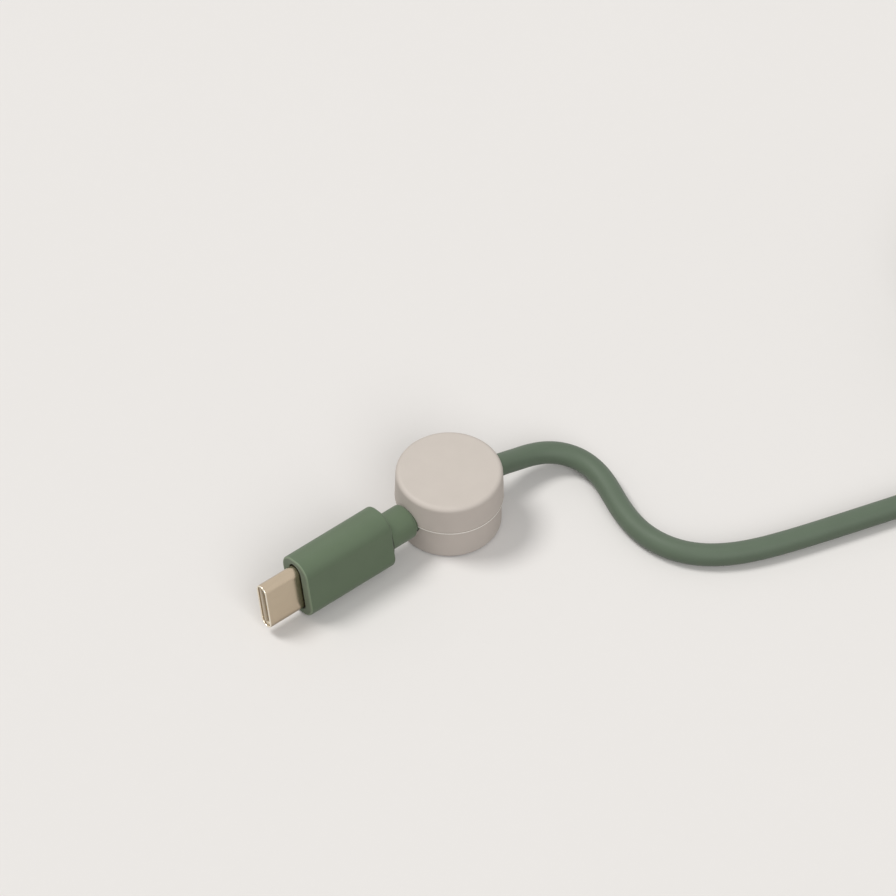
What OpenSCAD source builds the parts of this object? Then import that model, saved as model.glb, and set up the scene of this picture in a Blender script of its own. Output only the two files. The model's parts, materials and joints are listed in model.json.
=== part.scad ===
// Charging cable with a weighted anchor puck that slides along it and turns on it.
// Millimetres, +Z up. The origin is the middle of the puck's foot, on the table.
// +X runs along the plug's axis, from the plug's mouth towards the cable.

/* [Anchor puck] */
// Height of the puck from the table to its top
anchor_h = 11.3; // [11:0.1:13]
// Diameter of the cap at the seam
cap_seam_d = 17.1; // [15.4:0.1:20]
// How far the cap's side leans in towards the top
cap_lean = 0.15; // [0:0.05:0.5]
// Radius of the fillet round the cap's top
cap_fillet = 0.8; // [0.4:0.1:1.1]
// Small chamfer on the cap's lower edge, at the seam
seam_chamfer = 0.12; // [0.05:0.01:0.2]
// How far the base sits in from the cap at the seam
base_step = 0.35; // [0.1:0.05:0.6]
// Chamfer round the foot of the base
base_chamfer = 0.3; // [0.1:0.1:0.5]
// Side wall of the cap and the base
anchor_wall = 1.3; // [1.1:0.1:1.5]
// Thickness of the cap's top
cap_top_t = 1.2; // [0.9:0.1:1.4]
// Thickness of the base's floor, over the foot pad
base_floor_t = 0.9; // [0.7:0.1:1.1]
// Height of the cable's axis, where the cap and the base part
axis_h = 5.7; // [5.6:0.1:6]
// Depth of the cap's lip inside the base
lip_h = 0.8; // [0.5:0.1:1]
// Thickness of the cap's lip
lip_t = 0.55; // [0.4:0.05:0.6]
// Width of the base's rim round the foot pad
pad_edge = 1.2; // [0.9:0.1:2]
// Thickness of the foot pad
pad_t = 0.8; // [0.6:0.1:1]
// How far the foot pad stands proud of the base
pad_proud = 0.2; // [0.1:0.05:0.3]
// How far the cable's outlet flares to each side, outside
flare = 0.6; // [0.3:0.1:0.9]
// Depth of the flare
flare_h = 1; // [0.6:0.1:1.2]
// Wall of the grip bush
bush_wall = 0.95; // [0.75:0.05:1.1]

/* [Cable] */
// Outside diameter of the cable
cable_d = 3.6; // [3.4:0.1:3.7]
// Wall of the cable's jacket
jacket_t = 0.45; // [0.35:0.05:0.5]
// Thickness of the braided screen
screen_t = 0.13; // [0.1:0.01:0.16]
// Diameter of each data wire
data_wire_d = 0.54; // [0.4:0.02:0.58]
// Diameter of the control wire
control_wire_d = 0.3; // [0.2:0.02:0.34]
// Middle radius of the coil's innermost turn
coil_inner_r = 12.6; // [12:0.1:14]
// Room between one turn of the coil and the next
coil_gap = 0.45; // [0.42:0.01:0.6]
// Turns in each of the coil's two lower layers
layer_turns = 3; // [2:1:4]

/* [Plug] */
// Width of the plug's metal shell
shell_w = 8.25; // [8.2:0.01:8.3]
// Thickness of the plug's metal shell
shell_t = 2.4; // [2.36:0.01:2.42]
// Wall of the metal shell
shell_wall = 0.3; // [0.25:0.01:0.32]
// Length of metal shell that shows
shell_reach = 6.6; // [6.2:0.1:6.8]
// Length of metal shell inside the body
shell_hold = 5; // [4:0.1:5.4]
// Length of the green body
body_len = 16.8; // [16:0.1:20]
// Width of the green body
body_w = 10.6; // [10.3:0.1:11]
// Thickness of the green body
body_t = 6.3; // [6:0.1:6.5]
// Corner radius of the body's section
body_corner = 2.6; // [2.2:0.1:2.9]
// Rounding of the body's rear edge
rear_round = 0.5; // [0.3:0.1:0.8]
// Rounding of the body's front rim
front_round = 0.25; // [0.1:0.05:0.4]
// Thickness of the body's front and rear walls
body_end_t = 1; // [0.9:0.05:1.2]
// Open gap round the shell in the body's front wall
front_gap = 0.2; // [0.15:0.05:0.4]
// How far the neck sits in from the body's flat sides
neck_step = 0.25; // [0.25:0.05:0.5]
// Length of the neck behind the body
neck_len = 6.3; // [5:0.1:8]
// Thickness of the flange that holds the neck in the body
flange_t = 0.6; // [0.4:0.1:0.8]
// Roll of the near plug about its axis, from lying flat
plug_roll = 80; // [0:1:180]

/* [Plug inside] */
// Height of the slot that a socket's tongue goes into
slot_t = 1; // [0.9:0.01:1.04]
// Depth of that slot
slot_depth = 6; // [5:0.1:6.3]
// How far the insulator sits back from the shell's mouth
insulator_back = 0.3; // [0.1:0.05:0.5]
// How far the insulator reaches past the shell's rear end
insulator_tail = 0.4; // [0.2:0.05:0.8]
// Wall of the insulator behind the slot
slot_end_t = 0.3; // [0.2:0.05:0.4]
// Distance between the middles of neighbouring contacts
contact_pitch = 0.5; // [0.46:0.01:0.52]
// Width of each contact
contact_w = 0.26; // [0.2:0.01:0.3]
// Thickness of each contact
contact_t = 0.14; // [0.1:0.01:0.16]
// How far inside the slot's mouth the contacts start
contact_inset = 0.5; // [0.3:0.05:0.8]
// Length of each contact that lies on the circuit board
contact_foot = 1.4; // [0.8:0.1:2]
// Thickness of the latch spring's arms and bar
latch_t = 0.2; // [0.15:0.01:0.24]
// Skin of the insulator outside the latch spring
latch_skin = 0.15; // [0.08:0.01:0.2]
// How far inside the slot's mouth the latch spring starts
latch_inset = 0.5; // [0.3:0.05:0.8]
// How far the latch spring's hooks reach into the slot
latch_hook = 0.22; // [0.1:0.02:0.3]
// Thickness of each ground spring
ground_t = 0.1; // [0.08:0.01:0.12]
// How far behind the insulator's front face each ground spring starts
ground_inset = 0.3; // [0.2:0.05:0.6]
// Distance of each ground spring's sides from the end of the flat that it lies on
ground_edge = 0.2; // [0.05:0.05:0.6]
// Length of each ground spring
ground_len = 3.2; // [2.5:0.1:4]
// Gap between the circuit board's sides and the shield can
board_edge = 0.3; // [0.2:0.05:0.6]
// Thickness of the circuit board
board_t = 0.8; // [0.6:0.05:0.9]
// Side of the square marker chip
chip_w = 2; // [1.5:0.1:2.4]
// Thickness of the marker chip
chip_t = 0.55; // [0.4:0.05:0.7]
// Thickness of the shield can
can_t = 4; // [3.9:0.1:4.1]
// Wall of the shield can
can_wall = 0.2; // [0.15:0.01:0.25]
// Wall of the inner mould round the can
mould_wall = 0.3; // [0.25:0.01:0.34]
// Wall of the crimp ring
crimp_t = 0.2; // [0.12:0.01:0.24]
// Length of the crimp ring
crimp_len = 1.2; // [0.8:0.1:1.3]

/* [Fits] */
// Gap between pieces that are fixed to each other
fixed_fit = 0.02; // [0.01:0.005:0.03]
// Radial gap between pieces that turn or slide on each other
running_fit = 0.05; // [0.03:0.005:0.08]
// Radial gap round the docked neck
mouth_fit = 0.15; // [0.15:0.05:0.4]
// Radial gap round the cable where it leaves the puck
outlet_fit = 0.3; // [0.2:0.05:0.45]
// Gap round each wire in the cable
wire_fit = 0.06; // [0.03:0.01:0.08]
// Gap between the bush's ends and the walls, and behind the docked neck
end_play = 0.3; // [0.2:0.05:0.5]

/* [Hidden] */
$fn = 64;

// Colours
SAGE = [0.44, 0.54, 0.45];
BEIGE = [0.80, 0.76, 0.72];
CHAMPAGNE = [0.78, 0.72, 0.62];
STEEL = [0.62, 0.63, 0.65];
LINEN = [0.86, 0.82, 0.74];
GOLD = [0.85, 0.68, 0.36];
BOARD_GREEN = [0.10, 0.35, 0.22];
SOOT = [0.10, 0.10, 0.11];
RED = [0.65, 0.13, 0.11];
WHITE = [0.90, 0.90, 0.88];
BLUE = [0.16, 0.28, 0.62];

// How far a cut runs past the face that it opens
past = 1;

// ---- Anchor puck: derived sizes ----
cable_r = cable_d / 2;
neck_r = body_t / 2 - neck_step;
cap_r = cap_seam_d / 2;
base_r = cap_r - base_step;
pad_r = base_r - pad_edge;
cavity_r = base_r - anchor_wall;
lip_r = cavity_r + lip_t;
bush_r = cable_r + running_fit + bush_wall;
channel_r = bush_r + running_fit;
mouth_r = neck_r + mouth_fit;
outlet_r = cable_r + outlet_fit;
bush_half = sqrt(cavity_r * cavity_r - channel_r * channel_r) - end_play;
cap_top_z = anchor_h - cap_top_t;
base_floor_z = pad_t + base_floor_t;
dock_x = -(cavity_r + end_play);
exit_x = cavity_r + fixed_fit;
// Facets in the cap's round shoulder
shoulder_steps = 4;

// ---- Plug: derived sizes, from its own origin at the middle of the body's rear face ----
tip_x = -(body_len + shell_reach);
shell_end_x = -body_len + shell_hold;
bore_w = shell_w - 2 * shell_wall;
bore_t = shell_t - 2 * shell_wall;
insulator_x = tip_x + insulator_back;
insulator_end_x = shell_end_x + insulator_tail;
mould_x = -body_len + body_end_t + fixed_fit;
flange_x = -body_end_t - fixed_fit - flange_t;
mould_end_x = flange_x - fixed_fit;
can_end_x = mould_end_x - crimp_len;
jacket_x = can_end_x + fixed_fit;
mould_w = shell_w + 2 * mould_wall;
mould_t = can_t + 2 * mould_wall;
mould_corner = mould_t / 2 - mould_wall;
can_corner = mould_corner - mould_wall;
// The board starts behind the insulator, and its wires are joined to its rear edge
board_w = shell_w - 2 * (can_wall + board_edge);
board_x = insulator_end_x + fixed_fit;
wire_gap = 1.2;
board_end_x = can_end_x - can_wall - wire_gap;
// The contacts lie on the board's two faces, and start a little way inside the slot
contact_z = board_t / 2 + fixed_fit + contact_t / 2;
contact_start_x = insulator_x + contact_inset;
contact_end_x = board_x + contact_foot;
// Places of the contacts that a charging cable carries, counted from the middle in pitches
upper_places = [-5.5, -2.5, -1.5, -0.5, 0.5, 2.5, 5.5];
lower_places = [-5.5, -2.5, -1.5, 2.5, 5.5];
// The latch spring is a fork: two arms beside the slot, joined by a bar behind the slot's end wall
slot_w = bore_w - 2 * (fixed_fit + latch_skin + latch_t);
latch_y = slot_w / 2 + latch_t / 2;
latch_x = insulator_x + latch_inset;
latch_bar_x = insulator_x + slot_depth + slot_end_t;
latch_bar_len = 1.2;
latch_hook_len = 0.6;
ground_x = insulator_x + ground_inset;
ground_w = bore_w - bore_t - 2 * ground_edge;
ground_z = bore_t / 2 - fixed_fit - ground_t / 2;
// The chip and its two capacitors stand near the board's rear edge
chip_edge = 0.6;
capacitor_size = [1, 0.5, 0.4];
capacitor_y = 2.4;
// Wires in the cable: the two power wires fill the room above and below the control wire
wire_room_r = cable_r - jacket_t - screen_t - 2 * fixed_fit;
power_wire_d = wire_room_r - control_wire_d / 2 - 2 * wire_fit;
power_wire_z = (wire_room_r + control_wire_d / 2) / 2;
data_wire_y = wire_room_r - wire_fit - data_wire_d / 2;
wire_sides = 12;
// The body's ends are eased in thin slices, one every few degrees of a quarter circle
slice_t = 0.01;
slice_step = 45;
slice_sides = 24;

// ---- Where the two plugs are ----
near_x = dock_x - neck_len;
// The gap where a free stretch of the cable butts against the cable in a plug
butt_gap = 2 * fixed_fit;
near_lead = exit_x - butt_gap - near_x;
far_lead = neck_len;

// ---- Cable route ----
// From the puck's outlet, down to the table, round a bend and away to the coil
run_points = [
  [exit_x, 0, axis_h], [9, 0, axis_h], [11, 0, 5.2], [13.5, 0, 4.3], [16.4, -0.3, 3.8], [19.6, -1.5, 3.3],
  [22.1, -4.1, 2.7], [23.1, -7.4, 2.2], [22.8, -10.9, cable_r + 0.1], [21.7, -14.5, cable_r],
  [20.7, -18.2, cable_r], [20.3, -22.2, cable_r], [20.9, -26.1, cable_r], [22.6, -29.8, cable_r],
  [25.5, -33, cable_r], [29.5, -35.6, cable_r], [34.3, -37.6, cable_r], [40.2, -39.5, cable_r],
  [48, -41.8, cable_r], [58, -44.7, cable_r], [71, -48.6, cable_r], [85, -52.8, cable_r],
  [95.2, -55.9, cable_r]
];
run_end = run_points[len(run_points) - 1];
// From the coil's end, a quarter turn inwards to the far plug: how far ahead, and how far in
tail_steps = [
  [0, 0], [1.8, 0], [4.9, 0.7], [7.8, 2.6], [9.7, 5.4], [10.4, 8.8], [10.4, 10.6], [10.4, 12.4]
];

// ---- Coil: three layers, wound inwards, outwards and inwards; f counts turns from its start ----
coil_start_angle = -107;
coil_pitch = cable_d + coil_gap;
rings_per_turn = 20;
lead_len = 1.2 * cable_d;
// The top layer ends a quarter turn short of the inside
top_short = 0.25;
coil_end = 3 * layer_turns - top_short;
// The far plug lies flat on the top layer
plug_rise = cable_r + fixed_fit + body_t / 2;
function coil_angle(f) = coil_start_angle + 360 * f;
function coil_outward(f) = [cos(coil_angle(f)), sin(coil_angle(f)), 0];
function coil_ahead(f) = [-sin(coil_angle(f)), cos(coil_angle(f)), 0];
function turns_inside(f) = f < 2 * layer_turns ? abs(layer_turns - f) : 3 * layer_turns - f;
function coil_radius(f) = coil_inner_r + coil_pitch * turns_inside(f);
// A climb takes half a turn: round each change of layer, and before the coil's end
function ease(u) = u <= 0 ? 0 : u >= 1 ? 1 : u * u * (3 - 2 * u);
function climb(f, middle) = ease(2 * (f - middle) + 0.5);
function coil_rise(f) =
  coil_pitch * (climb(f, layer_turns) + climb(f, 2 * layer_turns)) + plug_rise * climb(f, coil_end - 0.25);
coil_centre = run_end + lead_len * coil_ahead(0) - coil_radius(0) * coil_outward(0);
function coil_point(f) = coil_centre + coil_radius(f) * coil_outward(f) + [0, 0, coil_rise(f)];
coil_rings = round(coil_end * rings_per_turn);
coil_turns = [for (i = [0:coil_rings]) coil_point(i / rings_per_turn)];
tail_start = coil_point(coil_end) + lead_len * coil_ahead(coil_end);
coil_path = concat([run_end], coil_turns, [tail_start]);

// Least gap between two parts of the coil that are half a turn or more apart along it
coil_gaps = [
  for (i = [0:coil_rings]) for (j = [i + rings_per_turn / 2:coil_rings])
    norm(coil_turns[i] - coil_turns[j]) - cable_d
];
echo(str("coil: least gap to itself ", min(coil_gaps), " mm"));

// ---- Tail, and the far plug's place, across the top of the coil ----
tail_points = [
  for (s = tail_steps) tail_start + s[0] * coil_ahead(coil_end) - s[1] * coil_outward(coil_end)
];
tail_end = tail_points[len(tail_points) - 1];
far_rear = tail_end - (far_lead + butt_gap) * coil_outward(coil_end);

// ---- Curves and tubes ----
// A cubic B-spline drawn by its control points, which starts at the first and ends at the last
function spline_point(a, b, c, d, t) = (
  pow(1 - t, 3) * a + (3 * pow(t, 3) - 6 * t * t + 4) * b
  + (-3 * pow(t, 3) + 3 * t * t + 3 * t + 1) * c + pow(t, 3) * d
) / 6;
function spline(p, steps) =
  let (n = len(p), q = concat([2 * p[0] - p[1]], p, [2 * p[n - 1] - p[n - 2]]))
  concat(
    [
      for (i = [0:n - 2]) for (k = [0:steps - 1])
        spline_point(q[i], q[i + 1], q[i + 2], q[i + 3], k / steps)
    ],
    [p[n - 1]]
  );
function unit(v) = v / norm(v);
function total(v) = v * [for (x = v) 1];
function path_length(p) = total([for (i = [1:len(p) - 1]) norm(p[i] - p[i - 1])]);
function tangent(p, i) = unit(p[min(i + 1, len(p) - 1)] - p[max(i - 1, 0)]);
// One ring of a tube, square to the path, with a corner straight down
function ring(p, i, r, sides) =
  let (t = tangent(p, i), side = unit(cross(t, [0, 0, 1])), up = cross(side, t))
  [for (k = [0:sides - 1]) p[i] + r * (sin(360 * k / sides) * side - cos(360 * k / sides) * up)];
module tube(p, r, sides) {
  n = len(p);
  last = (n - 1) * sides;
  points = [for (i = [0:n - 1]) each ring(p, i, r, sides)];
  walls = [
    for (i = [0:n - 2]) for (k = [0:sides - 1])
      let (a = i * sides + k, b = i * sides + (k + 1) % sides)
      each [[a, b + sides, b], [a, a + sides, b + sides]]
  ];
  first_end = [for (k = [1:sides - 2]) [0, k, k + 1]];
  last_end = [for (k = [1:sides - 2]) [last, last + k + 1, last + k]];
  polyhedron(points = points, faces = concat(first_end, walls, last_end), convexity = 10);
}
run_steps = 2;
run_sides = 8;
coil_sides = 6;
run_path = spline(run_points, run_steps);
tail_path = spline(tail_points, run_steps);
cable_length = near_lead + path_length(run_path) + path_length(coil_path) + path_length(tail_path) + far_lead;
echo(str("cable: ", round(cable_length), " mm from body to body"));

// ---- Plain shapes along X ----
module along_x(x, length) {
  translate([x, 0, 0]) rotate([90, 0, 90]) linear_extrude(length) children();
}
module rod_x(x, length, r) {
  translate([x, 0, 0]) rotate([0, 90, 0]) cylinder(h = length, r = r);
}
module pipe_x(x, length, outer_r, inner_r) {
  difference() {
    rod_x(x, length, outer_r);
    rod_x(x - past, length + 2 * past, inner_r);
  }
}
// A bar that starts at a point and runs along X, with the point in the middle of its end
module bar(start, size) {
  translate(start - [0, size[1] / 2, size[2] / 2]) cube(size);
}
// A flat section with full-round edges, as a plug's shell has
module stadium(w, t) {
  square([w - t, t], center = true);
  for (side = [-1, 1]) translate([side * (w - t) / 2, 0]) circle(d = t);
}
module rounded(w, t, r) {
  square([w - 2 * r, t], center = true);
  square([w, t - 2 * r], center = true);
  for (x = [-1, 1]) for (y = [-1, 1]) translate([x * (w / 2 - r), y * (t / 2 - r)]) circle(r = r);
}
module at_axis() {
  translate([0, 0, axis_h]) children();
}
module near_plug() {
  translate([near_x, 0, axis_h]) rotate([plug_roll, 0, 0]) children();
}
// The far plug points inwards, square to the coil's end
module far_plug() {
  translate(far_rear) rotate([0, 0, coil_angle(coil_end)]) children();
}

// ---- Anchor puck ----
// The mouth, the way through for the cable, and the flared outlet
module cable_way() {
  at_axis() rod_x(-cap_seam_d, cap_seam_d, mouth_r);
  at_axis() rod_x(-past, cap_seam_d, outlet_r);
  // The flare's cone runs on past the cap's side
  at_axis() translate([cap_r - flare_h, 0, 0]) rotate([0, 90, 0])
    cylinder(h = 2 * flare_h, r1 = outlet_r, r2 = outlet_r + 2 * flare);
}
// Half of the cap's section: a side that leans in to a round shoulder, which it meets smoothly
module cap_section() {
  side_z = axis_h + seam_chamfer;
  round_x = cap_r - cap_lean - cap_fillet;
  round_z = anchor_h - cap_fillet;
  reach = norm([cap_r - round_x, round_z - side_z]);
  lean = atan2(cap_r - round_x, round_z - side_z) - asin(cap_fillet / reach);
  shoulder = [
    for (i = [0:shoulder_steps]) let (a = lean + (90 - lean) * i / shoulder_steps)
      [round_x + cap_fillet * cos(a), round_z + cap_fillet * sin(a)]
  ];
  polygon(concat([[0, axis_h], [cap_r - seam_chamfer, axis_h], [cap_r, side_z]], shoulder, [[0, anchor_h]]));
}
module anchor_cap() {
  color(BEIGE) difference() {
    union() {
      rotate_extrude() cap_section();
      translate([0, 0, axis_h - lip_h]) cylinder(h = cap_top_z - axis_h + lip_h, r = lip_r);
    }
    translate([0, 0, axis_h - lip_h - past]) cylinder(h = cap_top_z - axis_h + lip_h + past, r = cavity_r);
    cable_way();
  }
}
module anchor_base() {
  color(BEIGE) difference() {
    translate([0, 0, pad_proud]) {
      cylinder(h = base_chamfer, r1 = base_r - base_chamfer, r2 = base_r);
      translate([0, 0, base_chamfer]) cylinder(h = axis_h - pad_proud - base_chamfer, r = base_r);
    }
    translate([0, 0, base_floor_z]) cylinder(h = anchor_h, r = cavity_r);
    translate([0, 0, axis_h - lip_h - fixed_fit]) cylinder(h = anchor_h, r = lip_r + fixed_fit);
    translate([0, 0, pad_t - anchor_h]) cylinder(h = anchor_h, r = pad_r + fixed_fit);
    cable_way();
  }
}
// Half of the steel core between two heights, with the bush's channel along its face
module core(low_z, high_z) {
  color(STEEL) difference() {
    translate([0, 0, low_z + fixed_fit]) cylinder(h = high_z - low_z - 2 * fixed_fit, r = cavity_r - fixed_fit);
    at_axis() rod_x(-cavity_r, 2 * cavity_r, channel_r);
  }
}
module upper_core() {
  core(axis_h, cap_top_z);
}
module lower_core() {
  core(base_floor_z, axis_h);
}
module foot_pad() {
  color(SOOT) cylinder(h = pad_t - fixed_fit, r = pad_r);
}
module grip_bush() {
  color(SOOT) at_axis() pipe_x(-bush_half, 2 * bush_half, bush_r, cable_r + running_fit);
}

// ---- Plug pieces, each in the plug's own frame. The forms take a gap, to cut their own seats ----
module shell() {
  color(CHAMPAGNE) difference() {
    along_x(tip_x, shell_end_x - tip_x) stadium(shell_w, shell_t);
    along_x(tip_x - past, shell_end_x - tip_x + 2 * past) stadium(bore_w, bore_t);
  }
}
module contact_form(places, side, gap) {
  start_x = contact_start_x - gap;
  size = [contact_end_x + gap - start_x, contact_w + 2 * gap, contact_t + 2 * gap];
  for (p = places) bar([start_x, p * contact_pitch, side * contact_z], size);
}
module latch_form(gap) {
  start_x = latch_x - gap;
  bar_x = latch_bar_x - gap;
  end_x = latch_bar_x + latch_bar_len + gap;
  thick = latch_t + 2 * gap;
  bar([bar_x, 0, 0], [end_x - bar_x, 2 * latch_y, thick]);
  for (side = [-1, 1]) bar([start_x, side * latch_y, 0], [end_x - start_x, thick, thick]);
}
module ground_form(gap) {
  size = [ground_len + 2 * gap, ground_w + 2 * gap, ground_t + 2 * gap];
  for (side = [-1, 1]) bar([ground_x - gap, 0, side * ground_z], size);
}
module insulator() {
  color(LINEN) difference() {
    along_x(insulator_x, insulator_end_x - insulator_x) stadium(bore_w - 2 * fixed_fit, bore_t - 2 * fixed_fit);
    along_x(insulator_x - past, slot_depth + past) square([slot_w, slot_t], center = true);
    contact_form(upper_places, 1, fixed_fit);
    contact_form(lower_places, -1, fixed_fit);
    latch_form(fixed_fit);
    ground_form(fixed_fit);
  }
}
module upper_contacts() {
  color(GOLD) contact_form(upper_places, 1, 0);
}
module lower_contacts() {
  color(GOLD) contact_form(lower_places, -1, 0);
}
module latch_spring() {
  color(STEEL) {
    latch_form(0);
    for (side = [-1, 1])
      bar([latch_x, side * (latch_y - latch_hook / 2), 0], [latch_hook_len, latch_t + latch_hook, latch_t]);
  }
}
module ground_springs() {
  color(STEEL) ground_form(0);
}
module board() {
  color(BOARD_GREEN) bar([board_x, 0, 0], [board_end_x - board_x, board_w, board_t]);
}
module on_board(x, y, size) {
  bar([x, y, board_t / 2 + fixed_fit + size[2] / 2], size);
}
module marker_chip() {
  color(SOOT) on_board(board_end_x - chip_edge - chip_w, 0, [chip_w, chip_w, chip_t]);
}
module capacitors() {
  color(LINEN) for (side = [-1, 1])
    on_board(board_end_x - chip_edge - capacitor_size[0], side * capacitor_y, capacitor_size);
}
module shield_can() {
  x = shell_end_x + fixed_fit;
  length = can_end_x - x;
  color(STEEL) difference() {
    along_x(x, length) rounded(shell_w, can_t, can_corner);
    along_x(x + can_wall, length - 2 * can_wall)
      rounded(shell_w - 2 * can_wall, can_t - 2 * can_wall, can_corner - can_wall);
    along_x(x - past, can_wall + 2 * past) stadium(bore_w, bore_t);
    rod_x(can_end_x - can_wall - past, can_wall + 2 * past, wire_room_r);
  }
}
module inner_mould() {
  color(LINEN) difference() {
    along_x(mould_x, mould_end_x - mould_x) rounded(mould_w, mould_t, mould_corner);
    along_x(mould_x - past, shell_end_x - mould_x + past) stadium(shell_w + 2 * fixed_fit, shell_t + 2 * fixed_fit);
    along_x(shell_end_x - fixed_fit, can_end_x - shell_end_x + 2 * fixed_fit)
      rounded(shell_w + 2 * fixed_fit, can_t + 2 * fixed_fit, can_corner + fixed_fit);
    rod_x(can_end_x - past, crimp_len + 2 * past, cable_r + crimp_t + 2 * fixed_fit);
  }
}
module crimp_ring() {
  color(STEEL) pipe_x(jacket_x, crimp_len - 2 * fixed_fit, cable_r + crimp_t + fixed_fit, cable_r + fixed_fit);
}
module body_slice(x, inset) {
  along_x(x, slice_t) rounded(body_w - 2 * inset, body_t - 2 * inset, body_corner - inset, $fn = slice_sides);
}
module body_block() {
  hull() for (a = [0:slice_step:90]) {
    body_slice(rear_round * (sin(a) - 1) - slice_t, rear_round * (1 - cos(a)));
    body_slice(-body_len - front_round * (sin(a) - 1), front_round * (1 - cos(a)));
  }
}
module body() {
  color(SAGE) difference() {
    body_block();
    along_x(-body_len - past, body_end_t + 2 * past) stadium(shell_w + 2 * front_gap, shell_t + 2 * front_gap);
    along_x(mould_x - fixed_fit, body_len - 2 * body_end_t)
      rounded(mould_w + 2 * fixed_fit, mould_t + 2 * fixed_fit, mould_corner + fixed_fit);
    rod_x(mould_end_x, past - mould_end_x, neck_r + fixed_fit);
  }
}
module neck() {
  color(SAGE) difference() {
    union() {
      rod_x(flange_x, neck_len - flange_x, neck_r);
      along_x(flange_x, flange_t) rounded(mould_w, mould_t, mould_corner);
    }
    rod_x(flange_x - past, neck_len - flange_x + 2 * past, cable_r + fixed_fit);
  }
}
module lead_jacket(lead) {
  color(SAGE) pipe_x(jacket_x, lead - jacket_x, cable_r, cable_r - jacket_t);
}
module lead_screen(lead) {
  outer_r = cable_r - jacket_t - fixed_fit;
  color(STEEL) pipe_x(jacket_x, lead - jacket_x, outer_r, outer_r - screen_t);
}
module wire(y, z, d, lead) {
  start_x = board_end_x + fixed_fit;
  translate([0, y, z]) rod_x(start_x, lead - start_x, d / 2, $fn = wire_sides);
}
module power_wires(lead) {
  color(RED) for (side = [-1, 1]) wire(0, side * power_wire_z, power_wire_d, lead);
}
module data_wires(lead) {
  color(WHITE) for (side = [-1, 1]) wire(side * data_wire_y, 0, data_wire_d, lead);
}
module control_wire(lead) {
  color(BLUE) wire(0, 0, control_wire_d, lead);
}

// ---- Cord ----
module cord_run() {
  color(SAGE) tube(run_path, cable_r, run_sides);
}
module cord_coil() {
  color(SAGE) tube(coil_path, cable_r, coil_sides);
}
module cord_tail() {
  color(SAGE) tube(tail_path, cable_r, run_sides);
}

anchor_cap();
anchor_base();
upper_core();
lower_core();
foot_pad();
grip_bush();
near_plug() shell();  // plug_shell
near_plug() insulator();  // plug_insulator
near_plug() upper_contacts();  // plug_upper_contacts
near_plug() lower_contacts();  // plug_lower_contacts
near_plug() latch_spring();  // plug_latch_spring
near_plug() ground_springs();  // plug_ground_springs
near_plug() board();  // plug_board
near_plug() marker_chip();  // plug_marker_chip
near_plug() capacitors();  // plug_capacitors
near_plug() shield_can();  // plug_shield_can
near_plug() inner_mould();  // plug_inner_mould
near_plug() crimp_ring();  // plug_crimp_ring
near_plug() body();  // plug_body
near_plug() neck();  // plug_neck
near_plug() lead_jacket(near_lead);  // plug_lead_jacket
near_plug() lead_screen(near_lead);  // plug_lead_screen
near_plug() power_wires(near_lead);  // plug_power_wires
near_plug() data_wires(near_lead);  // plug_data_wires
near_plug() control_wire(near_lead);  // plug_control_wire
cord_run();
cord_coil();
cord_tail();
far_plug() shell();  // far_shell
far_plug() insulator();  // far_insulator
far_plug() upper_contacts();  // far_upper_contacts
far_plug() lower_contacts();  // far_lower_contacts
far_plug() latch_spring();  // far_latch_spring
far_plug() ground_springs();  // far_ground_springs
far_plug() board();  // far_board
far_plug() shield_can();  // far_shield_can
far_plug() inner_mould();  // far_inner_mould
far_plug() crimp_ring();  // far_crimp_ring
far_plug() body();  // far_body
far_plug() neck();  // far_neck
far_plug() lead_jacket(far_lead);  // far_lead_jacket
far_plug() lead_screen(far_lead);  // far_lead_screen
far_plug() power_wires(far_lead);  // far_power_wires
far_plug() data_wires(far_lead);  // far_data_wires
far_plug() control_wire(far_lead);  // far_control_wire
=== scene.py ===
"""A charging cable with an anchor puck on it: finer pieces where they show, materials for the rest, and the
floor, light and camera."""

import json
import math

import bmesh
import bpy
from mathutils import Matrix, Vector


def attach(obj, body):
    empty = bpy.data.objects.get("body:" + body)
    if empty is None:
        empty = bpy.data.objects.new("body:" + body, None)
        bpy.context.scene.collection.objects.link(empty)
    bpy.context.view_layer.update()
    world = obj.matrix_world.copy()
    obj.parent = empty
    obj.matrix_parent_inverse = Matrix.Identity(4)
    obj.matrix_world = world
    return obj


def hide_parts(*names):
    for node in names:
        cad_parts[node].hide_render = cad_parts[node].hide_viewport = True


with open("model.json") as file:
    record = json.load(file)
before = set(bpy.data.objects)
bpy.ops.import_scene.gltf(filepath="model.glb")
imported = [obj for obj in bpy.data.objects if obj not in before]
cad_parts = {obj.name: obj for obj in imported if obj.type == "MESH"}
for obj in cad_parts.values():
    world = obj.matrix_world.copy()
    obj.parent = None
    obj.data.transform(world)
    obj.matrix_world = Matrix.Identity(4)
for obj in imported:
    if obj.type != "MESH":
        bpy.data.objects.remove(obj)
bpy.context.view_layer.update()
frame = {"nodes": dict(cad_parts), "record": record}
scene = bpy.context.scene
scene.view_settings.view_transform = "Standard"
MM = 0.001

# ---------------------------------------------------------------- sizes, millimetres
# The gap between pieces that are fixed together, and where two stretches of the cable butt
FIT = 0.02
BUTT = 2 * FIT
CABLE_R = 1.8
# Height of the cable's axis, which runs along X through the middle of the puck
AXIS_H = 5.7

# Puck: its cap and base, the cavity in them, the cap's lip, and the recess for the foot pad
CAP_R, CAP_TOP, CAP_FILLET, CAP_LEAN = 8.55, 11.3, 0.8, 0.15
BASE_R, BASE_BOTTOM = 8.2, 0.2
CAVITY_R, CAVITY_BOTTOM, CAVITY_TOP = 6.9, 1.7, 10.1
LIP_R, LIP_BOTTOM = 7.45, 4.9
RECESS_R, RECESS_TOP = 7.02, 0.8
# How far edges are eased: the cap's and the base's at the seam, and the base's round its foot
CAP_EASE, BASE_EASE, FOOT_EASE = 0.12, 0.08, 0.3
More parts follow.
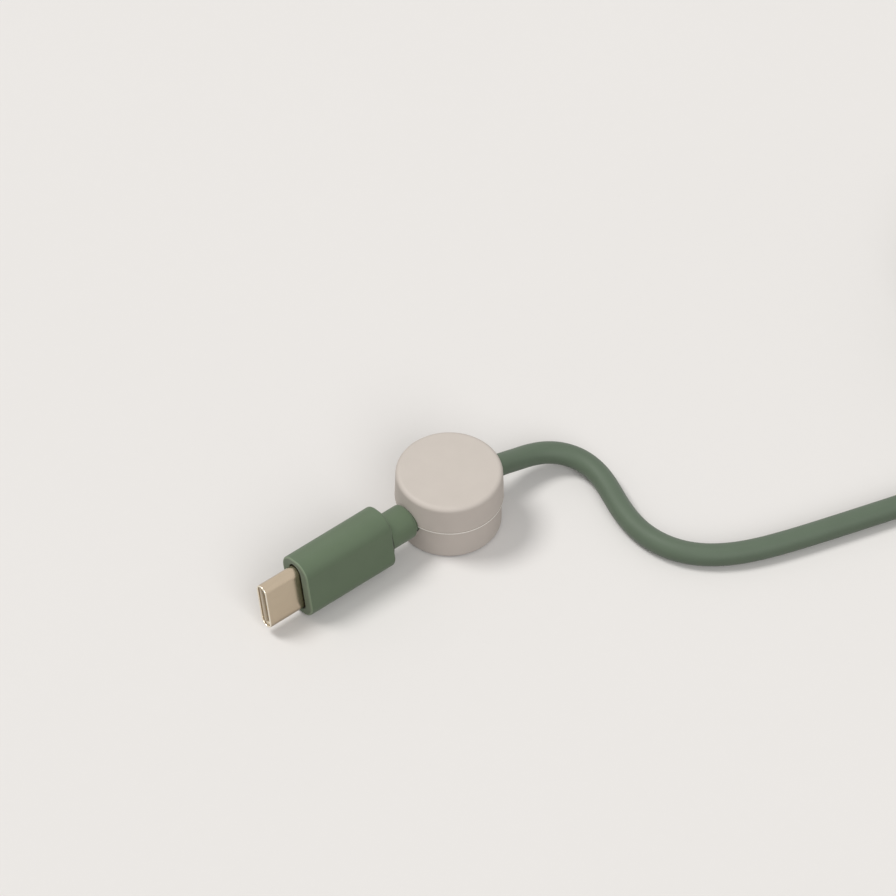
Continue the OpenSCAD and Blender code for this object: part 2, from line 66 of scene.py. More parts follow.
# The cable's flared way out of the puck, as (x, radius), and where the free cable starts in it
OUTLET = ((-1, 2.1), (7.55, 2.1), (7.8, 2.16), (8.1, 2.3), (8.35, 2.5), (8.55, 2.7), (9.2, 3.5))
EXIT_X = CAVITY_R + FIT

# Plug, in its own frame: the tip lies towards -X, and x = 0 is the body's rear face
BODY_LEN, BODY_W, BODY_T, BODY_CORNER = 16.8, 10.6, 6.3, 2.6
REAR_ROUND, FRONT_ROUND, OPENING_ROUND, WALL_END = 0.5, 0.25, 0.12, 1.0
# The width of the painted highlight band on the front face, and a narrow wall that keeps a round's shading
# off a side
HIGHLIGHT_BAND, HOLD = 0.05, 0.08
# The crease behind the body, as (x, how far outside the neck)
CREASE = ((0, 0.16), (-0.1, 0.12), (-0.28, 0), (-WALL_END, 0))
FRONT_GAP = 0.2
SHELL_W, SHELL_T, SHELL_WALL, SHELL_REACH, SHELL_HOLD = 8.25, 2.4, 0.3, 6.6, 5.0
SHELL_LIP, SHELL_LEAD_IN, SHELL_EASE = 0.13, 0.14, 0.05
MOULD_W, MOULD_T, MOULD_R = 8.85, 4.6, 2.0
FLANGE_T = 0.6
CRIMP_LEN = 1.2
NECK_R, NECK_LEN = 2.9, 6.3
# The neck's round end turns into a nose, which docks in the puck's mouth
NOSE_R, NOSE_FIT = 2.25, 0.12
SHOULDER_X, SHOULDER_LEN = 4.42, 0.53
NOSE_ROUND, BORE_ROUND = 0.15, 0.12
JACKET_BORE_R, JACKET_EASE = 1.35, 0.03
TIP_X = -(BODY_LEN + SHELL_REACH)
SHELL_END_X = -BODY_LEN + SHELL_HOLD
FLANGE_X = -WALL_END - FIT - FLANGE_T
# The jacket starts level with the front of the crimp ring, which sits round it in front of the flange
JACKET_X = FLANGE_X - CRIMP_LEN
# How far the docked nose stays outside the puck's cavity, where the near plug's body ends, and how far it
# is rolled about the cable
END_PLAY = 0.3
NEAR_X = -(CAVITY_R + END_PLAY) - NECK_LEN
NEAR_ROLL = math.radians(80)

# ---------------------------------------------------------------- camera, metres
AIM = Vector((0.00930, 0.01169, 0.0))
AZ, EL, DISTANCE = math.radians(-39.26), math.radians(47.64), 1.0
LENS = 253.4
back = Vector((math.sin(AZ) * math.cos(EL), -math.cos(AZ) * math.cos(EL), math.sin(EL)))
camera_data = bpy.data.cameras.new("camera")
camera_data.sensor_width = 36.0
camera_data.lens = LENS
camera_data.clip_start = 0.05
camera_data.clip_end = 20.0
camera = bpy.data.objects.new("camera", camera_data)
scene.collection.objects.link(camera)
camera.location = AIM + back * DISTANCE
camera.rotation_euler = (-back).to_track_quat("-Z", "Y").to_euler()
scene.camera = camera

# ---------------------------------------------------------------- mesh helpers
# Vertices nearer than this are one, in millimetres
MERGE = 0.0005
SHARP_ANGLE = math.radians(38)


def link(obj):
    scene.collection.objects.link(obj)
    return obj


def finish_mesh(name, bm, materials):
    """A mesh object from a bmesh in millimetres, smooth except at its sharp edges."""
    bmesh.ops.remove_doubles(bm, verts=bm.verts, dist=MERGE)
    bmesh.ops.recalc_face_normals(bm, faces=bm.faces)
    for face in bm.faces:
        face.smooth = True
    mesh = bpy.data.meshes.new(name)
    bmesh.ops.scale(bm, vec=(MM, MM, MM), verts=bm.verts)
    bm.to_mesh(mesh)
    bm.free()
    mesh.set_sharp_from_angle(angle=SHARP_ANGLE)
    for m in materials:
        mesh.materials.append(m)
    return link(bpy.data.objects.new(name, mesh))


def even_shading(obj):
    """Keeps large flat faces flat where they meet a small round."""
    mod = obj.modifiers.new("even_shading", "WEIGHTED_NORMAL")
    mod.keep_sharp = True
    mod.weight = 80


def quarter(steps):
    """(sine, cosine) of the angles that divide a quarter circle into steps, its two ends included."""
    angles = [math.radians(90 * i / steps) for i in range(steps + 1)]
    return [(math.sin(a), math.cos(a)) for a in angles]


def rounded(w, t, r, k=14):
    """A rounded rectangle's outline: four quarter circles of k steps each."""
    r = max(r, 0.001)
    points = []
    for cx, cy, start in ((1, 1, 0), (-1, 1, 90), (-1, -1, 180), (1, -1, 270)):
        for i in range(k + 1):
            a = math.radians(start + 90 * i / k)
            points.append((cx * (w / 2 - r) + r * math.cos(a), cy * (t / 2 - r) + r * math.sin(a)))
    return points


def circle(r, k=14):
    return rounded(2 * r, 2 * r, r, k)


def loft(name, rings, materials, place):
    """A closed skin over rings of (x, outline, band), in order and back to the first.
    Each band is the material index of the wall that follows the ring."""
    bm = bmesh.new()
    rows = [[bm.verts.new((x, y, z)) for y, z in outline] for x, outline, _ in rings]
    n = len(rows[0])
    for i, (_, _, band) in enumerate(rings):
        a, b = rows[i], rows[(i + 1) % len(rows)]
        for k in range(n):
            face = bm.faces.new((a[k], a[(k + 1) % n], b[(k + 1) % n], b[k]))
            face.material_index = band
    bmesh.ops.transform(bm, matrix=place, verts=bm.verts)
    obj = finish_mesh(name, bm, materials)
    even_shading(obj)
    return obj


def revolve(name, profile, materials, segments=160):
    """A profile of (radius, height, band) turned about Z. A point with radius 0 closes it on the axis."""
    bm = bmesh.new()
    angles = [2 * math.pi * i / segments for i in range(segments)]
    rows = []
    for r, z, _ in profile:
        if r == 0:
            rows.append([bm.verts.new((0, 0, z))] * segments)
        else:
            rows.append([bm.verts.new((r * math.cos(a), r * math.sin(a), z)) for a in angles])
    for (_, _, band), a, b in zip(profile, rows, rows[1:]):
        for k in range(segments):
            m = (k + 1) % segments
            # a triangle where one row is the point on the axis
            face = bm.faces.new(tuple(dict.fromkeys((a[k], a[m], b[m], b[k]))))
            face.material_index = band
    return finish_mesh(name, bm, materials)


def skin(bm, rows):
    """Walls between rows of vertices, and a face over each end."""
    n = len(rows[0])
    for a, b in zip(rows, rows[1:]):
        for k in range(n):
            m = (k + 1) % n
            bm.faces.new((a[k], a[m], b[m], b[k]))
    bm.faces.new(rows[0])
    bm.faces.new(rows[-1])


def turned_x(name, profile, segments=96):
    """A cutter: a profile of (x, radius) turned about the cable's axis. Its edges lie half a step off the
    pieces' own, so that no cut runs along an edge."""
    bm = bmesh.new()
    angles = [2 * math.pi * (i + 0.5) / segments for i in range(segments)]
    skin(bm, [
        [bm.verts.new((x, r * math.cos(a), AXIS_H + r * math.sin(a))) for a in angles] for x, r in profile
    ])
    return finish_mesh(name, bm, [])


def cut(obj, cutters):
    """Takes the cutters out of obj, and leaves a plain mesh."""
    for cutter in cutters:
        mod = obj.modifiers.new("cut", "BOOLEAN")
        mod.operation = "DIFFERENCE"
        mod.solver = "EXACT"
        mod.object = cutter
    bpy.context.view_layer.update()
    graph = bpy.context.evaluated_depsgraph_get()
    mesh = bpy.data.meshes.new_from_object(obj.evaluated_get(graph))
    obj.modifiers.clear()
    old = obj.data
    obj.data = mesh
    bpy.data.meshes.remove(old)
    mesh.name = obj.name
    mesh.set_sharp_from_angle(angle=SHARP_ANGLE)
    even_shading(obj)


# ---------------------------------------------------------------- materials
# How much of the change in colour comes from the fine grain, the rest being slow patches
FINE_SHARE = 0.35
# The noise's values where a colour's darkest and lightest shades are reached
DARKEST_AT, LIGHTEST_AT = 0.3, 0.7
# In metres
BUMP_DEPTH = 0.00003
SUBSURFACE_RADIUS = (0.0008, 0.0006, 0.0005)


def srgb(r, g, b):
    """A colour of 0-255 values, as the shader wants it."""
    def one(c):
        c /= 255
        return c / 12.92 if c <= 0.04045 else ((c + 0.055) / 1.055) ** 2.4
    return (one(r), one(g), one(b), 1.0)


def shade(colour, k):
    return tuple(min(1.0, c * k) for c in colour[:3]) + (1.0,)


def material(name, colour, roughness, spread, grain, bump, patch=220, metallic=0.0, sheen=0.0, coat=0.0,
             specular=0.5, rough_spread=0.06, stretch=None, subsurface=0.0):
    """A surface with slow changes of colour, a fine grain in its gloss and a fine bump."""
    m = bpy.data.materials.new(name)
    m.use_nodes = True
    nodes, links = m.node_tree.nodes, m.node_tree.links
    bsdf = nodes["Principled BSDF"]
    bsdf.inputs["Metallic"].default_value = metallic
    bsdf.inputs["Specular IOR Level"].default_value = specular
    bsdf.inputs["Coat Weight"].default_value = coat
    bsdf.inputs["Sheen Weight"].default_value = sheen
    bsdf.inputs["Subsurface Weight"].default_value = subsurface
    bsdf.inputs["Subsurface Radius"].default_value = SUBSURFACE_RADIUS
    m.diffuse_color = colour
    source = nodes.new("ShaderNodeTexCoord").outputs["Object"]
    if stretch is not None:
        mapping = nodes.new("ShaderNodeMapping")
        mapping.inputs["Scale"].default_value = stretch
        links.new(source, mapping.inputs["Vector"])
        source = mapping.outputs["Vector"]

    def noise(scale, detail, rough):
        n = nodes.new("ShaderNodeTexNoise")
        n.inputs["Scale"].default_value = scale
        n.inputs["Detail"].default_value = detail
        n.inputs["Roughness"].default_value = rough
        links.new(source, n.inputs["Vector"])
        return n.outputs["Fac"]

    patches = noise(patch, 3.0, 0.5)
    fine = noise(grain, 4.0, 0.6)
    scaled = nodes.new("ShaderNodeMath")
    scaled.operation = "MULTIPLY"
    scaled.inputs[1].default_value = 1 - FINE_SHARE
    links.new(patches, scaled.inputs[0])
    mixed = nodes.new("ShaderNodeMath")
    mixed.operation = "MULTIPLY_ADD"
    mixed.inputs[1].default_value = FINE_SHARE
    links.new(fine, mixed.inputs[0])
    links.new(scaled.outputs[0], mixed.inputs[2])
    ramp = nodes.new("ShaderNodeValToRGB")
    darkest, lightest = ramp.color_ramp.elements
    darkest.position, lightest.position = DARKEST_AT, LIGHTEST_AT
    darkest.color, lightest.color = shade(colour, 1 - spread), shade(colour, 1 + spread)
    links.new(mixed.outputs[0], ramp.inputs["Fac"])
    links.new(ramp.outputs["Color"], bsdf.inputs["Base Color"])
    gloss = nodes.new("ShaderNodeMapRange")
    gloss.inputs["To Min"].default_value = max(0.02, roughness - rough_spread)
    gloss.inputs["To Max"].default_value = min(1.0, roughness + rough_spread)
    links.new(fine, gloss.inputs["Value"])
    links.new(gloss.outputs["Result"], bsdf.inputs["Roughness"])
    if bump > 0:
        b = nodes.new("ShaderNodeBump")
        b.inputs["Strength"].default_value = bump
        b.inputs["Distance"].default_value = BUMP_DEPTH
        links.new(fine, b.inputs["Height"])
        links.new(b.outputs["Normal"], bsdf.inputs["Normal"])
    return m


# Name, colour, roughness, spread of colour, grain, bump, and the rest by name
M = {row[0]: material(*row[:-1], **row[-1]) for row in (
    ("sage_soft", srgb(93, 110, 86), 0.62, 0.05, 7000, 0.35, dict(patch=260, sheen=0.18, specular=0.38)),
    # painted highlight: a lighter copy of the sage green on the front face's edge band and round, where
    # light catches the edge
    ("sage_edge", srgb(117, 133, 108), 0.5, 0.05, 7000, 0.3, dict(patch=500, sheen=0.15)),
    # painted shade: a darker copy of the sage green, laid inside the body's front opening and hollow, in its
    # rear crease, and on the neck where it stands in that crease
    ("sage_deep", srgb(56, 62, 50), 0.75, 0.08, 6000, 0.3, dict(patch=500)),
    ("sage_jacket", srgb(89, 104, 86), 0.58, 0.05, 6500, 0.3, dict(patch=240, sheen=0.15, specular=0.4)),
    ("puck_plastic", srgb(203, 195, 187), 0.6, 0.025, 6000, 0.3, dict(patch=300, specular=0.4)),
    # painted highlight: a near-white copy of the puck plastic on the cap's eased lower edge at the seam
    ("puck_edge", srgb(250, 247, 240), 0.4, 0.02, 6000, 0.15, dict(patch=600)),
    # painted shade: a darker copy of the puck plastic in the fine groove above that edge
    ("puck_groove", srgb(172, 163, 153), 0.7, 0.03, 6000, 0.15, dict(patch=600)),
    ("core_steel", (0.58, 0.59, 0.61, 1), 0.36, 0.06, 3000, 0.2, dict(metallic=1.0, stretch=(1, 1, 12))),
    ("pad_rubber", srgb(48, 47, 47), 0.82, 0.12, 5000, 0.5, dict(patch=400, sheen=0.1)),
    ("shell_metal", srgb(190, 175, 154), 0.21, 0.03, 2600, 0.12,
     dict(patch=500, metallic=1.0, stretch=(1, 9, 9), rough_spread=0.05)),
    # painted highlight: a lighter copy of the shell metal on the shell's rolled lip and lead-in
    ("shell_edge", srgb(233, 226, 210), 0.18, 0.02, 3000, 0.05, dict(patch=500, metallic=1.0)),
    ("spring_steel", (0.66, 0.67, 0.69, 1), 0.28, 0.05, 4000, 0.15, dict(metallic=1.0, stretch=(1, 8, 8))),
    ("insulator", srgb(222, 211, 190), 0.5, 0.03, 6000, 0.2, dict(patch=500, subsurface=0.1)),
    ("inner_mould", srgb(226, 220, 204), 0.45, 0.04, 4000, 0.2, dict(patch=300, subsurface=0.25)),
    ("contacts", (0.83, 0.62, 0.27, 1), 0.24, 0.06, 4000, 0.12, dict(metallic=1.0, stretch=(1, 9, 9))),
    ("circuit_board", srgb(24, 96, 60), 0.4, 0.1, 5000, 0.2, dict(patch=900, coat=0.3)),
    ("chip", srgb(34, 34, 36), 0.55, 0.1, 7000, 0.3, dict(patch=900)),
    ("screen", (0.72, 0.66, 0.60, 1), 0.38, 0.14, 5000, 0.6, dict(patch=2500, metallic=1.0)),
    ("red_wire", srgb(166, 38, 32), 0.38, 0.06, 4000, 0.1, {}),
    ("white_wire", srgb(228, 227, 222), 0.38, 0.04, 4000, 0.1, {}),
    ("blue_wire", srgb(44, 74, 156), 0.38, 0.06, 4000, 0.1, {}),
)}

# Every carried-over node gets its slot's material
slots = {s["node"]: s["material_slot"] for s in frame["record"]["subparts"]}
for node, obj in frame["nodes"].items():
    obj.data.materials.clear()
    obj.data.materials.append(M[slots[node]])

# The small hard ones get eased edges, so wide in millimetres
EASED = {"insulator": 0.04, "upper_contacts": 0.03, "lower_contacts": 0.03, "latch_spring": 0.04,
         "board": 0.05, "marker_chip": 0.06, "capacitors": 0.05, "shield_can": 0.05}
for node, obj in frame["nodes"].items():
    plug, _, kind = node.partition("_")
    if plug in ("plug", "far") and kind in EASED:
        weld = obj.modifiers.new("weld", "WELD")
        weld.merge_threshold = 0.000001
        ease = obj.modifiers.new("eased_edges", "BEVEL")
        ease.width = EASED[kind] * MM
        ease.segments = 2
        ease.limit_method = "ANGLE"
        ease.angle_limit = math.radians(50)


# ---------------------------------------------------------------- cord
def vec(*p):
    return Vector(p)


def spline(points, steps):
    """A cubic B-spline drawn by its control points, from the first to the last."""
    q = [2 * points[0] - points[1]] + points + [2 * points[-1] - points[-2]]
    out = []
    for i in range(len(points) - 1):
        a, b, c, d = q[i:i + 4]
        for k in range(steps):
            t = k / steps
            out.append(((1 - t) ** 3 * a + (3 * t ** 3 - 6 * t * t + 4) * b
                        + (-3 * t ** 3 + 3 * t * t + 3 * t + 1) * c + t ** 3 * d) / 6)
    return out + [points[-1]]


# Out of the puck, down to the floor, round a bend and away to the coil
RUN = [vec(*p) for p in (
    (EXIT_X, 0, AXIS_H), (9, 0, AXIS_H), (11, 0, 5.2), (13.5, 0, 4.3), (16.4, -0.3, 3.8), (19.6, -1.5, 3.3),
    (22.1, -4.1, 2.7), (23.1, -7.4, 2.2), (22.8, -10.9, CABLE_R + 0.1), (21.7, -14.5, CABLE_R),
    (20.7, -18.2, CABLE_R), (20.3, -22.2, CABLE_R), (20.9, -26.1, CABLE_R), (22.6, -29.8, CABLE_R),
    (25.5, -33, CABLE_R), (29.5, -35.6, CABLE_R), (34.3, -37.6, CABLE_R), (40.2, -39.5, CABLE_R),
    (48, -41.8, CABLE_R), (58, -44.7, CABLE_R), (71, -48.6, CABLE_R), (85, -52.8, CABLE_R),
    (95.2, -55.9, CABLE_R))]
# The coil: three layers, wound inwards, outwards and inwards, the last a part of a turn short of the inside.
# f counts its turns from its start
LAYER_TURNS, TOP_SHORT, INNER_R, COIL_GAP, START_ANGLE = 3, 0.25, 12.6, 0.45, -107
COIL_END = 3 * LAYER_TURNS - TOP_SHORT
PITCH = 2 * CABLE_R + COIL_GAP
# The straight stretch before and after the coil, and the last climb, to the plug on the top layer
LEAD = 1.2 * 2 * CABLE_R
PLUG_RISE = CABLE_R + FIT + BODY_T / 2


def coil_angle(f):
    return math.radians(START_ANGLE + 360 * f)


def outward(f):
    return vec(math.cos(coil_angle(f)), math.sin(coil_angle(f)), 0)


def ahead(f):
    return vec(-math.sin(coil_angle(f)), math.cos(coil_angle(f)), 0)


def coil_radius(f):
    turns = abs(LAYER_TURNS - f) if f < 2 * LAYER_TURNS else 3 * LAYER_TURNS - f
    return INNER_R + PITCH * turns


def climb(f, middle):
    """From 0 to 1 over half a turn."""
    u = min(1.0, max(0.0, 2 * (f - middle) + 0.5))
    return u * u * (3 - 2 * u)


centre = RUN[-1] + LEAD * ahead(0) - coil_radius(0) * outward(0)


def coil_point(f):
    rise = (PITCH * (climb(f, LAYER_TURNS) + climb(f, 2 * LAYER_TURNS))
            + PLUG_RISE * climb(f, COIL_END - 0.25))
    return centre + coil_radius(f) * outward(f) + vec(0, 0, rise)


def coil_points(per_turn):
    return [coil_point(i / per_turn) for i in range(round(COIL_END * per_turn) + 1)]


# From the coil a quarter turn inwards to the far plug: how far ahead, and how far in
TAIL = [coil_point(COIL_END) + (LEAD + a) * ahead(COIL_END) - b * outward(COIL_END) for a, b in (
    (0, 0), (1.8, 0), (4.9, 0.7), (7.8, 2.6), (9.7, 5.4), (10.4, 8.8), (10.4, 10.6), (10.4, 12.4))]
far_rear = TAIL[-1] - (NECK_LEN + BUTT) * outward(COIL_END)


def centreline(run_steps, per_turn, tail_steps):
    """The whole cord: steps between the run's and the tail's points, and points per turn of the coil."""
    return spline(RUN, run_steps) + coil_points(per_turn) + spline(TAIL, tail_steps)


def tube(name, points, r, sides, materials):
    """A round tube along points. Its corners keep their place round it, so it doesn't twist."""
    bm = bmesh.new()
    angles = [2 * math.pi * k / sides for k in range(sides)]
    rows = []
    for i, p in enumerate(points):
        # the first ring lies square to the puck's outlet
        t = points[min(i + 1, len(points) - 1)] - points[i - 1] if i else vec(1, 0, 0)
        t = t.normalized()
        side = t.cross(vec(0, 0, 1)).normalized()
        up = side.cross(t)
        rows.append([bm.verts.new(p + r * (math.cos(a) * side + math.sin(a) * up)) for a in angles])
    skin(bm, rows)
    return finish_mesh(name, bm, materials)


# The cord's surface follows a finer line than the one that is declared for it
cord = tube("cord", centreline(5, 40, 3), CABLE_R, 28, [M["sage_jacket"]])
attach(cord, "anchor")
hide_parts("cord_run", "cord_coil", "cord_tail")


# ---------------------------------------------------------------- plugs, each in its own frame
def body_rings():
    """The overmould, open round the shell in front, with a fine crease round the neck behind."""
    soft, painted_shade, edge = range(3)
    front = -BODY_LEN

    def section(inset):
        return rounded(BODY_W - 2 * inset, BODY_T - 2 * inset, BODY_CORNER - inset)

    def opening(wider):
        w, t = SHELL_W + 2 * FRONT_GAP, SHELL_T + 2 * FRONT_GAP
        return rounded(w + 2 * wider, t + 2 * wider, t / 2 + wider)

    # from inside the front opening, which is painted dark as shade, out over the front face, whose edge band
    # and round are painted light as a highlight
    rings = [(front + WALL_END, opening(0), painted_shade)]
    for i, (s, c) in enumerate(quarter(4)):
        band = painted_shade if i == 0 else soft
        rings.append((front + OPENING_ROUND * (1 - s), opening(OPENING_ROUND * (1 - c)), band))
    rings.append((front, section(FRONT_ROUND + HIGHLIGHT_BAND), edge))
    for i, (s, c) in enumerate(quarter(6)):
        band = edge if i < 5 else soft
        rings.append((front + FRONT_ROUND * (1 - c), section(FRONT_ROUND * (1 - s)), band))
    # along the sides, with rings that keep the walls short, and round to the rear face
    for x in (front + FRONT_ROUND + HOLD, -12, -8, -4, -REAR_ROUND - HOLD):
        rings.append((x, section(0), soft))
    for s, c in quarter(7):
        rings.append((-REAR_ROUND * (1 - s), section(REAR_ROUND * (1 - c)), soft))
    # across the rear face, into the crease and through to the hollow that the inner mould fills, the crease
    # and hollow painted dark as shade
    for x, wider in CREASE:
        rings.append((x, circle(NECK_R + FIT + wider), painted_shade))
    hollow = rounded(MOULD_W + 2 * FIT, MOULD_T + 2 * FIT, MOULD_R + FIT)
    return rings + [(-WALL_END, hollow, painted_shade), (front + WALL_END, hollow, painted_shade)]


def neck_rings():
    """The strain relief: a flange held in the body, the neck, its round end, and the nose with its bore."""
    soft, painted_shade = range(2)
    bore = CABLE_R + FIT
    flange = rounded(MOULD_W, MOULD_T, MOULD_R)
    rings = [
        (FLANGE_X, circle(bore), soft),
        (FLANGE_X, flange, soft),
        (FLANGE_X + FLANGE_T, flange, soft),
        (FLANGE_X + FLANGE_T, circle(NECK_R), soft),
        # painted shade where it stands in the body's crease
        (-0.3, circle(NECK_R), painted_shade),
    ]
    for x in (0.03, 0.12, 1.6, 3.2):
        rings.append((x, circle(NECK_R), soft))
    for s, c in quarter(8):
        rings.append((SHOULDER_X + SHOULDER_LEN * s, circle(NOSE_R + (NECK_R - NOSE_R) * c), soft))
    for s, c in quarter(4):
        rings.append((NECK_LEN - NOSE_ROUND * (1 - s), circle(NOSE_R - NOSE_ROUND * (1 - c)), soft))
    for s, c in quarter(4):
        rings.append((NECK_LEN - BORE_ROUND * (1 - c), circle(bore + BORE_ROUND * (1 - s)), soft))
    return rings


def shell_rings():
    """The drawn metal shell: a rolled lip at its mouth, and a fine lead-in inside."""
    sheet, lip = range(2)
    # x, how far inside the outer surface, and the band
    walls = [(SHELL_END_X, SHELL_EASE, sheet), (SHELL_END_X - SHELL_EASE, 0, sheet)]
    walls += [(x, 0, sheet) for x in (-13, -16, -19, TIP_X + 0.4)]
    # the rolled lip and the lead-in inside it take the lighter metal, a painted highlight
    walls += [(TIP_X + SHELL_LIP * (1 - s), SHELL_LIP * (1 - c), lip) for s, c in quarter(6)]
    for i, (s, c) in enumerate(quarter(4)):
        band = lip if i < 4 else sheet
        walls.append((TIP_X + SHELL_LEAD_IN * (1 - c), SHELL_WALL - SHELL_LEAD_IN * (1 - s), band))
    walls += [(TIP_X + 0.5, SHELL_WALL, sheet), (SHELL_END_X - SHELL_EASE, SHELL_WALL, sheet),
              (SHELL_END_X, SHELL_WALL - SHELL_EASE, sheet)]
    rings = []
    for x, inset, band in walls:
        w, t = SHELL_W - 2 * inset, SHELL_T - 2 * inset
        rings.append((x, rounded(w, t, t / 2, 20), band))
    return rings


def jacket_rings(length):
    """The cable's jacket from inside the plug to length behind its body."""
    eased = CABLE_R - JACKET_EASE
    return [(x, circle(r, 12), 0) for x, r in (
        (JACKET_X, JACKET_BORE_R), (JACKET_X, eased), (JACKET_X + JACKET_EASE, CABLE_R), (0, CABLE_R),
        (length / 2, CABLE_R), (length - JACKET_EASE, CABLE_R), (length, eased), (length, JACKET_BORE_R))]


def placed(origin, roll=0, heading=0):
    return Matrix.Translation(origin) @ Matrix.Rotation(heading, 4, "Z") @ Matrix.Rotation(roll, 4, "X")


near_place = placed(vec(NEAR_X, 0, AXIS_H), roll=NEAR_ROLL)
far_place = placed(far_rear, heading=coil_angle(COIL_END))
for prefix, body, place, lead in (
        ("plug", "plug", near_place, EXIT_X - BUTT - NEAR_X), ("far", "anchor", far_place, NECK_LEN)):
    for kind, rings, finishes in (
            ("body", body_rings(), ("sage_soft", "sage_deep", "sage_edge")),
            ("neck", neck_rings(), ("sage_soft", "sage_deep")),
            ("shell", shell_rings(), ("shell_metal", "shell_edge")),
            ("lead_jacket", jacket_rings(lead), ("sage_jacket",))):
        piece = loft(f"{prefix}_{kind}_fine", rings, [M[finish] for finish in finishes], place)
        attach(piece, body)
        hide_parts(f"{prefix}_{kind}")


# ---------------------------------------------------------------- anchor puck
def cap_profile():
    """The cap's section from the middle of its top, round its shoulder and side, and back inside it."""
    plain, edge, groove = range(3)
    round_x, round_z, side_z = CAP_R - CAP_LEAN - CAP_FILLET, CAP_TOP - CAP_FILLET, AXIS_H + CAP_EASE
    reach = math.hypot(CAP_R - round_x, round_z - side_z)
    lean = math.atan2(CAP_R - round_x, round_z - side_z) - math.asin(CAP_FILLET / reach)
    points = [(r, CAP_TOP, plain) for r in (0, 2, 4, 6, 7.2, round_x - 0.12)]
    steps = 14
    for i in range(steps, -1, -1):
        a = lean + (math.pi / 2 - lean) * i / steps
        points.append((round_x + CAP_FILLET * math.cos(a), round_z + CAP_FILLET * math.sin(a), plain))
    top_r, top_z, _ = points[-1]
    for k in (0.03, 0.25, 0.5, 0.75):
        points.append((top_r + (CAP_R - top_r) * k, top_z + (side_z - top_z) * k, plain))
    # a fine groove, painted dark as shade, and the eased edge under it, painted bright as a highlight
    for depth, above, band in (
            (0.01, 0.33, groove), (0.06, 0.28, groove), (0.06, 0.24, groove), (0, 0.19, edge)):
        points.append((CAP_R - depth, side_z + above, band))
    for i, (s, c) in enumerate(quarter(5)):
        points.append((CAP_R - CAP_EASE * (1 - c), side_z - CAP_EASE * s, edge if i < 5 else plain))
    # round the lip, and up the cavity's side to the middle of its ceiling
    return points + [(r, z, plain) for r, z in (
        (LIP_R, AXIS_H), (LIP_R, LIP_BOTTOM), (CAVITY_R, LIP_BOTTOM), (CAVITY_R, CAVITY_TOP),
        (0, CAVITY_TOP))]


def base_profile():
    """The base's section from the pad's recess, round its foot and side to the seam, and back inside it."""
    foot_r = BASE_R - FOOT_EASE
    # the recess, and its rim's small chamfer
    points = [(0, RECESS_TOP), (RECESS_R, RECESS_TOP), (RECESS_R, BASE_BOTTOM + 0.02),
              (RECESS_R + 0.04, BASE_BOTTOM)]
    points += [(foot_r + FOOT_EASE * s, BASE_BOTTOM + FOOT_EASE * (1 - c)) for s, c in quarter(6)]
    points += [(BASE_R, z) for z in (0.6, 2.2, 3.8, 5.5)]
    points += [(BASE_R - BASE_EASE * (1 - c), AXIS_H - BASE_EASE * (1 - s)) for s, c in quarter(3)[1:]]
    points += [(LIP_R + FIT, AXIS_H), (LIP_R + FIT, LIP_BOTTOM - FIT), (CAVITY_R, LIP_BOTTOM - FIT),
               (CAVITY_R, CAVITY_BOTTOM), (0, CAVITY_BOTTOM)]
    return [(r, z, 0) for r, z in points]


mouth = turned_x("mouth_cutter", ((-12, NOSE_R + NOSE_FIT), (0, NOSE_R + NOSE_FIT)))
outlet = turned_x("outlet_cutter", OUTLET)
for name, profile, finishes, node in (
        ("puck_cap_fine", cap_profile(), ("puck_plastic", "puck_edge", "puck_groove"), "anchor_cap"),
        ("puck_base_fine", base_profile(), ("puck_plastic",), "anchor_base")):
    piece = revolve(name, profile, [M[finish] for finish in finishes])
    cut(piece, (mouth, outlet))
    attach(piece, "anchor")
    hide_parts(node)
for cutter in (mouth, outlet):
    bpy.data.objects.remove(cutter)

# ---------------------------------------------------------------- floor, light
# Half the floor's side, in metres
FLOOR_HALF = 1.6
# What the floor throws back up, which is less than it shows
FLOOR_BOUNCE = (0.34, 0.31, 0.30, 1)
WARM_WHITE = (1.0, 0.985, 0.965)
SKY_LIGHT, SKY_SHOWN = 0.38, 1.0

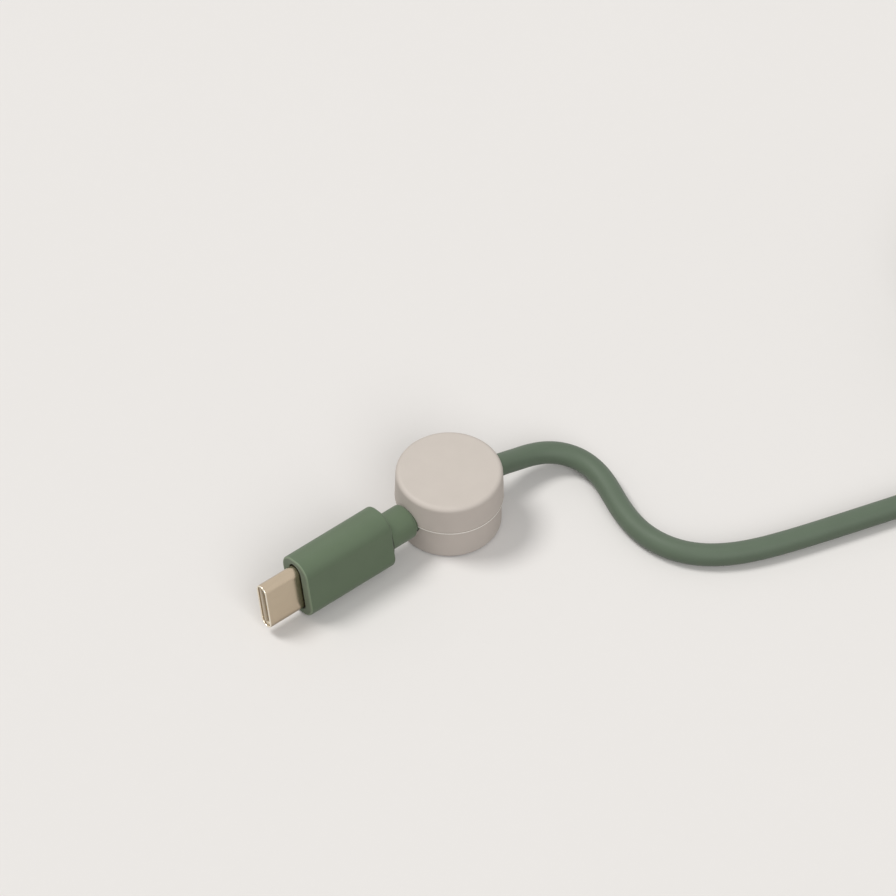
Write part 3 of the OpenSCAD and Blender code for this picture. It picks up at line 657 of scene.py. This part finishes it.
floor_mesh = bpy.data.meshes.new("floor")
floor_corners = [(FLOOR_HALF * x, FLOOR_HALF * y, 0) for x, y in ((-1, -1), (1, -1), (1, 1), (-1, 1))]
floor_mesh.from_pydata(floor_corners, [], [(0, 1, 2, 3)])
floor = link(bpy.data.objects.new("floor", floor_mesh))
floor_material = material("floor", srgb(233, 231, 229), 0.85, 0.006, 300, 0.0, patch=12, specular=0.15)
floor_mesh.materials.append(floor_material)


def seen_straight(tree):
    """1 for rays from the camera, or by way of gloss or glass, and 0 for light that is thrown about."""
    path = tree.nodes.new("ShaderNodeLightPath")
    value = path.outputs["Is Camera Ray"]
    for other in ("Is Glossy Ray", "Is Transmission Ray"):
        larger = tree.nodes.new("ShaderNodeMath")
        larger.operation = "MAXIMUM"
        tree.links.new(value, larger.inputs[0])
        tree.links.new(path.outputs[other], larger.inputs[1])
        value = larger.outputs[0]
    return value


tree = floor_material.node_tree
shader = tree.nodes["Principled BSDF"]
shown = shader.inputs["Base Color"].links[0].from_socket
mix = tree.nodes.new("ShaderNodeMix")
mix.data_type = "RGBA"
mix.inputs["A"].default_value = FLOOR_BOUNCE
tree.links.new(seen_straight(tree), mix.inputs["Factor"])
tree.links.new(shown, mix.inputs["B"])
tree.links.new(mix.outputs["Result"], shader.inputs["Base Color"])

world = bpy.data.worlds.new("world")
scene.world = world
world.use_nodes = True
tree = world.node_tree
sky = tree.nodes["Background"]
sky.inputs["Color"].default_value = (*WARM_WHITE, 1)
strength = tree.nodes.new("ShaderNodeMapRange")
strength.inputs["To Min"].default_value = SKY_LIGHT
strength.inputs["To Max"].default_value = SKY_SHOWN
tree.links.new(seen_straight(tree), strength.inputs["Value"])
tree.links.new(strength.outputs["Result"], sky.inputs["Strength"])


def sun(name, to_right, to_back, up, energy, width, colour=(1, 1, 1)):
    """A soft light, width degrees wide and even over the whole floor, from a side as the camera sees it."""
    data = bpy.data.lights.new(name, "SUN")
    data.energy = energy
    data.angle = math.radians(width)
    data.color = colour
    lamp = link(bpy.data.objects.new(name, data))
    right, away = Vector((math.cos(AZ), math.sin(AZ), 0)), Vector((-math.sin(AZ), math.cos(AZ), 0))
    direction = to_right * right + to_back * away + Vector((0, 0, up))
    lamp.rotation_euler = direction.to_track_quat("Z", "Y").to_euler()


sun("key", -0.8, 0.2, 1.4, 1.54, 22, WARM_WHITE)
sun("fill", 0.35, -0.95, 0.8, 1.1, 38)
